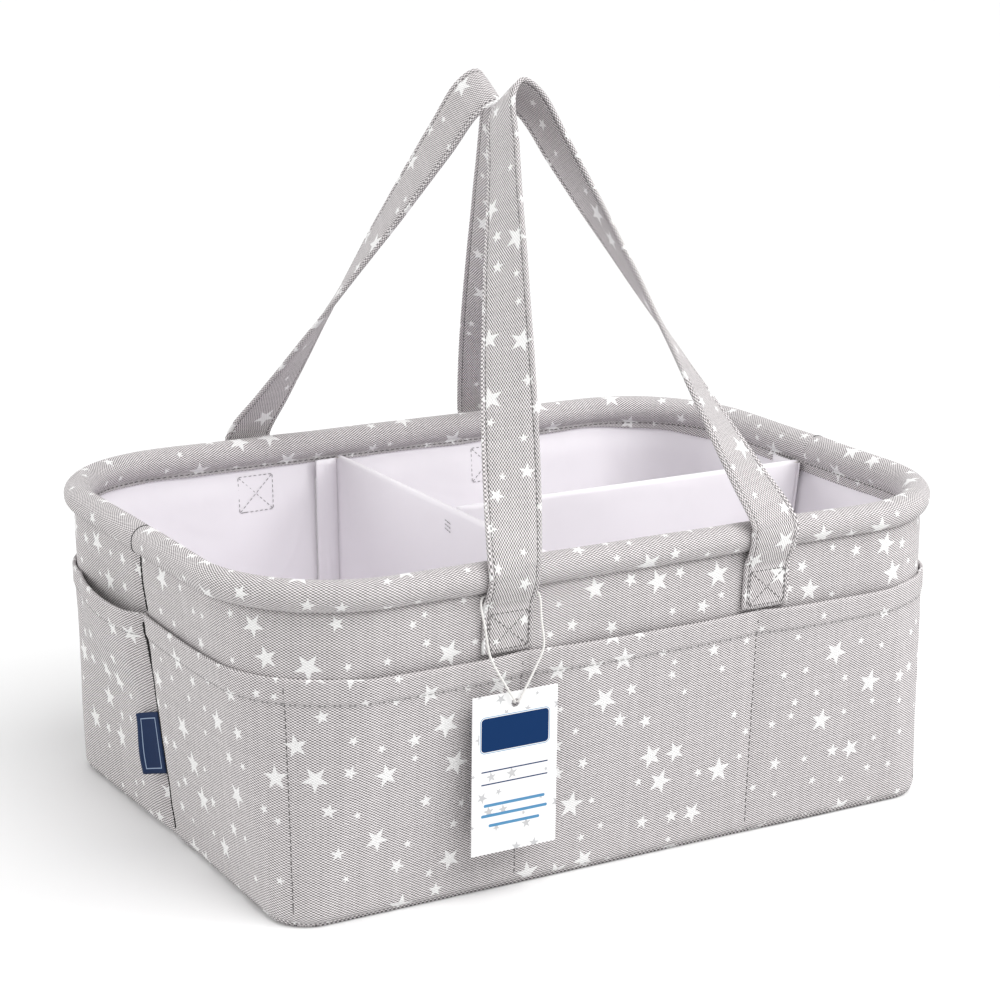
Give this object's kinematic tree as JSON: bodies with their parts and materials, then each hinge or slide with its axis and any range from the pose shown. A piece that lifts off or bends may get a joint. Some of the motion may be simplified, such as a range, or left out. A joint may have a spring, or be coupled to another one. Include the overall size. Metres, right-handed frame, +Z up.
{
  "type": "diaper caddy",
  "caption": "Soft rectangular canvas caddy with a padded rim, outside pockets, strap handles and a T-shaped divider insert, for carrying nappies and care items.",
  "frame": {"origin": "centre of the underside, on the surface that the caddy stands on", "axes": "+X along the length towards the right end, -Y the front with the hang tag, +Z up"},
  "size_m": [0.3818, 0.2702, 0.3418],
  "materials": {
    "canvas": "plain-weave cotton canvas, warm grey with white stars",
    "lining": "smooth white polyester",
    "foam": "closed-cell foam",
    "board": "stiff board",
    "tape": "white hook-and-loop tape",
    "label_cloth": "navy woven tape",
    "paper": "smooth white card",
    "cotton": "thin white cotton string"
  },
  "bodies": {
    "caddy": {"outer_canvas_front": "canvas", "outer_canvas_back": "canvas", "outer_canvas_base": "canvas", "stiffener_front": "foam", "stiffener_back": "foam", "base_board": "board", "lining_front": "lining", "lining_back": "lining", "lining_floor": "lining", "rim_core_front": "foam", "rim_core_back": "foam", "rim_binding_front": "canvas", "rim_binding_back": "canvas", "pocket_band_front": "canvas", "pocket_band_back": "canvas", "handle_end_left_front": "canvas", "handle_end_left_back": "canvas", "handle_end_right_front": "canvas", "handle_end_right_back": "canvas", "cross_divider_cover": "lining", "cross_divider_board": "board", "cross_divider_flap_front": "lining", "cross_divider_flap_back": "lining", "cross_hook_tape_front": "tape", "cross_hook_tape_back": "tape", "cross_loop_tape_front": "tape", "cross_loop_tape_back": "tape", "long_loop_tape": "tape", "side_label": "label_cloth"},
    "front_handle": {"handle_strap_front": "canvas"},
    "back_handle": {"handle_strap_back": "canvas"},
    "long_divider": {"long_divider_cover": "lining", "long_divider_board": "board", "long_divider_flap": "lining", "long_hook_tape": "tape"},
    "tag": {"hang_tag": "paper", "tag_string": "cotton"}
  },
  "joints": [
    {"name": "front_handle_fold", "type": "hinge", "parent": "caddy", "child": "front_handle", "pos_m": [0, -0.12838, 0.13105], "axis": [1, 0, 0], "range_deg": [0, 110]},
    {"name": "back_handle_fold", "type": "hinge", "parent": "caddy", "child": "back_handle", "pos_m": [0, 0.12838, 0.13105], "axis": [-1, 0, 0], "range_deg": [0, 110]},
    {"name": "long_divider_swing", "type": "hinge", "parent": "caddy", "child": "long_divider", "pos_m": [-0.02375, 0, 0.07], "axis": [0, 0, 1], "range_deg": [0, 20]},
    {"name": "tag_swing", "type": "hinge", "parent": "caddy", "child": "tag", "pos_m": [-0.07, -0.1274, 0.1371], "axis": [-1, 0, 0], "range_deg": [0, 25]}
  ]
}
